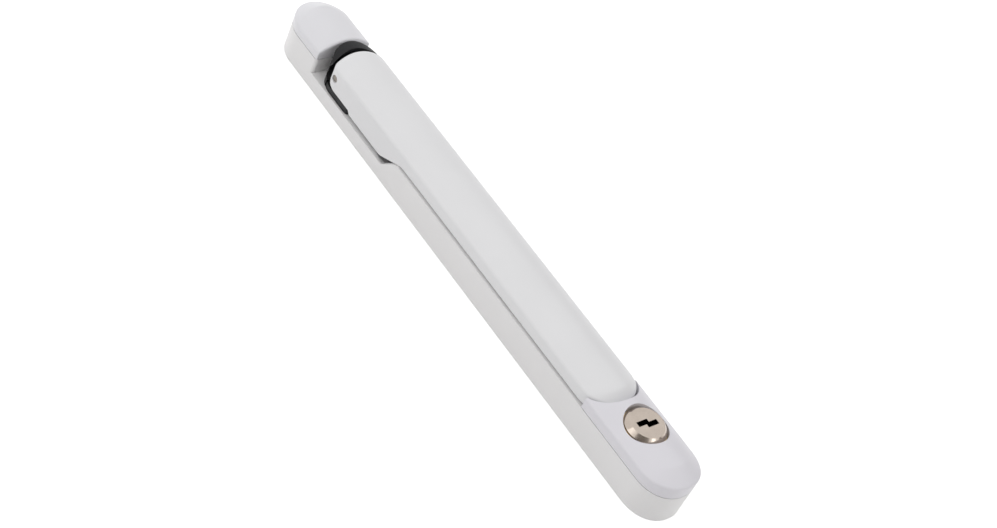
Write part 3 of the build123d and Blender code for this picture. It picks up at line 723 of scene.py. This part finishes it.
def outside_painted_slot_shade(tree, vector):
    """Mask of the painted shade in the lock's key slot: zero deep inside the slot and one on the
    rest of the lock's head.
    """
    split = tree.nodes.new("ShaderNodeSeparateXYZ")
    tree.links.new(vector, split.inputs["Vector"])
    above = reckon(tree, "GREATER_THAN", split.outputs["Z"], KEYWAY_TOP)
    level = tree.nodes.new("ShaderNodeVectorMath")
    level.operation = "MULTIPLY"
    level.inputs[1].default_value = (1.0, 1.0, 0.0)
    tree.links.new(vector, level.inputs[0])
    radius = tree.nodes.new("ShaderNodeVectorMath")
    radius.operation = "LENGTH"
    tree.links.new(level.outputs["Vector"], radius.inputs[0])
    away = reckon(tree, "GREATER_THAN", radius.outputs["Value"], KEYWAY_REACH)
    return reckon(tree, "MAXIMUM", above, away)


def turned_nickel():
    """Nickel plate over a turned head, with its fine rings round the lock's axis, and painted shade
    that makes the key slot dark."""
    made, tree, shader = new_material("nickel")
    vector = object_space(tree, offset=(-LOCK_AXIS[0], -LOCK_AXIS[1], 0.0))
    slow = noise(tree, vector, 300.0, detail=3.0)
    # Deep in the key slot the mask zeroes the noise, and the ramp gives it the painted shade
    slot_shade_masked = reckon(tree, "MULTIPLY", slow, outside_painted_slot_shade(tree, vector))
    colour = ramp(tree, slot_shade_masked, ((NOISE_SPAN[0], NICKEL_LOW), (NOISE_SPAN[1], NICKEL_HIGH),
                                 (0.05, KEY_SLOT_PAINTED_SHADE), (0.10, NICKEL_LOW)))
    tree.links.new(colour, shader.inputs["Base Color"])
    uneven = noise(tree, vector, 2500.0, detail=4.0, rough=0.6)
    tree.links.new(spread(tree, uneven, low=0.14, high=0.24), shader.inputs["Roughness"])
    shader.inputs["Metallic"].default_value = 1.0
    rings = tree.nodes.new("ShaderNodeTexWave")
    rings.wave_type = "RINGS"
    rings.rings_direction = "Z"
    rings.inputs["Scale"].default_value = TURNED_RINGS
    rings.inputs["Distortion"].default_value = TURNED_WOBBLE
    rings.inputs["Detail"].default_value = 2.0
    tree.links.new(vector, rings.inputs["Vector"])
    relief = bump(tree, rings.outputs["Fac"], strength=0.15, distance=0.000004)
    tree.links.new(relief, shader.inputs["Normal"])
    return made


def zinc_steel():
    return surface("steel", (0.21, 0.19, 0.17), (0.29, 0.265, 0.24), roughness=(0.28, 0.42),
                   grains=((1800.0, 0.25, 0.000008),), patch=260.0, metallic=1.0)


def machined_brass():
    return surface("brass_body", (0.56, 0.42, 0.22), (0.64, 0.50, 0.28), roughness=(0.24, 0.38),
                   grains=((2200.0, 0.20, 0.000006),), patch=220.0, metallic=1.0)


def natural_nylon():
    return surface("nylon", (0.70, 0.69, 0.64), (0.76, 0.75, 0.71), roughness=(0.40, 0.52),
                   grains=((1500.0, 0.20, 0.00001),), patch=160.0)


def matt_rubber():
    return surface("rubber", (0.012, 0.012, 0.013), (0.020, 0.020, 0.021), roughness=(0.70, 0.85),
                   grains=((2400.0, 0.40, 0.00002),), patch=200.0)


def dress():
    """Gives each CAD node the finish of its material slot in the record, then makes the shown
    forms."""
    finishes = {
        "white_coat": white_coat("white_coat", (0.780, 0.780, 0.792), (0.800, 0.800, 0.812)),
        "black_moulding": black_moulding(),
        "nickel": turned_nickel(),
        "steel": zinc_steel(),
        "brass_body": machined_brass(),
        "nylon": natural_nylon(),
        "rubber": matt_rubber(),
    }
    own = {
        "base": white_coat("white_coat_base", (0.808, 0.800, 0.802), (0.828, 0.820, 0.822)),
        "lock_cap": white_coat("white_coat_lock_cap", (0.742, 0.730, 0.772),
                               (0.762, 0.750, 0.792)),
        "hinge_cap": white_coat("white_coat_hinge_cap", (0.750, 0.746, 0.776),
                                (0.770, 0.766, 0.796)),
    }
    for part in frame["record"]["subparts"]:
        mesh = nodes[part["node"]]
        for place in mesh.material_slots:
            place.material = own.get(part["node"], finishes[part["material_slot"]])
    make_base_form(own["base"])
    make_lock_cap_form(own["lock_cap"])
    make_hinge_cap_form(own["hinge_cap"])
    make_lever_form(finishes["white_coat"])
    make_hub_form(finishes["black_moulding"])
    make_lock_head_form(finishes["nickel"])


def seen_directly(tree):
    """One for rays that show the background, straight or in metal and glass, and zero for light on
    the part."""
    path = tree.nodes.new("ShaderNodeLightPath")
    mirrored = reckon(tree, "MAXIMUM", path.outputs["Is Glossy Ray"],
                      path.outputs["Is Transmission Ray"])
    return reckon(tree, "MAXIMUM", path.outputs["Is Camera Ray"], mirrored)


def matt_sheet(name, width, height, z, colour):
    """A flat rectangle of the studio with its object, mesh, material tree and shader."""
    mesh = bpy.data.meshes.new(name)
    corners = [(x * width / 2, y * height / 2, z) for x, y in ((-1, -1), (1, -1), (1, 1), (-1, 1))]
    mesh.from_pydata(corners, [], [(0, 1, 2, 3)])
    sheet = bpy.data.objects.new(name, mesh)
    bpy.context.scene.collection.objects.link(sheet)
    made, tree, shader = new_material(name)
    shader.inputs["Base Color"].default_value = colour
    shader.inputs["Roughness"].default_value = STUDIO_ROUGHNESS
    mesh.materials.append(made)
    return sheet, tree, shader


def make_floor():
    """A white floor that shows brighter than the light it gives back."""
    floor, tree, shader = matt_sheet("floor", 2 * FLOOR_HALF, 2 * FLOOR_HALF, -FLOOR_DROP,
                                     FLOOR_COLOUR)
    shader.inputs["Specular IOR Level"].default_value = 0.0
    glow = tree.nodes.new("ShaderNodeEmission")
    strength = reckon(tree, "MULTIPLY", seen_directly(tree), FLOOR_LIFT)
    tree.links.new(strength, glow.inputs["Strength"])
    both = tree.nodes.new("ShaderNodeAddShader")
    tree.links.new(shader.outputs["BSDF"], both.inputs[0])
    tree.links.new(glow.outputs["Emission"], both.inputs[1])
    tree.links.new(both.outputs["Shader"], tree.nodes["Material Output"].inputs["Surface"])


def make_world():
    """An even white dome that shows as pure white."""
    world = bpy.data.worlds.new("studio")
    bpy.context.scene.world = world
    world.use_nodes = True
    tree = world.node_tree
    back = tree.nodes["Background"]
    back.inputs["Color"].default_value = (1.0, 1.0, 1.0, 1.0)
    strength = spread(tree, seen_directly(tree), WORLD_LIGHT, 1.0, span=(0.0, 1.0))
    tree.links.new(strength, back.inputs["Strength"])


def face_towards(thing, place, target):
    thing.location = place
    thing.rotation_euler = (target - Vector(place)).to_track_quat("-Z", "Y").to_euler()


def make_lamp(name, place, size, power):
    """A square lamp that looks at the middle of the part."""
    lamp = bpy.data.lights.new(name, "AREA")
    lamp.shape = "SQUARE"
    lamp.size = size
    lamp.energy = power
    made = bpy.data.objects.new(name, lamp)
    face_towards(made, place, MIDDLE)
    bpy.context.scene.collection.objects.link(made)


def make_card(name, place, width, height):
    """A dark studio card that faces the lock. It shows in the metal and takes light from the sides
    of the part, and the camera doesn't see it."""
    card = matt_sheet(name, width, height, 0.0, CARD_COLOUR)[0]
    face_towards(card, place, Vector((*LOCK_AXIS, KEYWAY_TOP)))
    card.visible_camera = False


def make_camera():
    data = bpy.data.cameras.new("camera")
    data.lens = CAMERA_LENS
    data.sensor_width = CAMERA_SENSOR
    data.shift_x, data.shift_y = CAMERA_SHIFT
    data.clip_start, data.clip_end = CAMERA_CLIP
    camera = bpy.data.objects.new("camera", data)
    camera.location = CAMERA_PLACE
    camera.rotation_euler = Euler([math.radians(angle) for angle in CAMERA_TURN])
    bpy.context.scene.collection.objects.link(camera)
    bpy.context.scene.camera = camera


make_camera()
dress()
make_floor()
make_world()
for lamp in LAMPS:
    make_lamp(*lamp)
for card in CARDS:
    make_card(*card)
bpy.context.scene.view_settings.view_transform = "Standard"
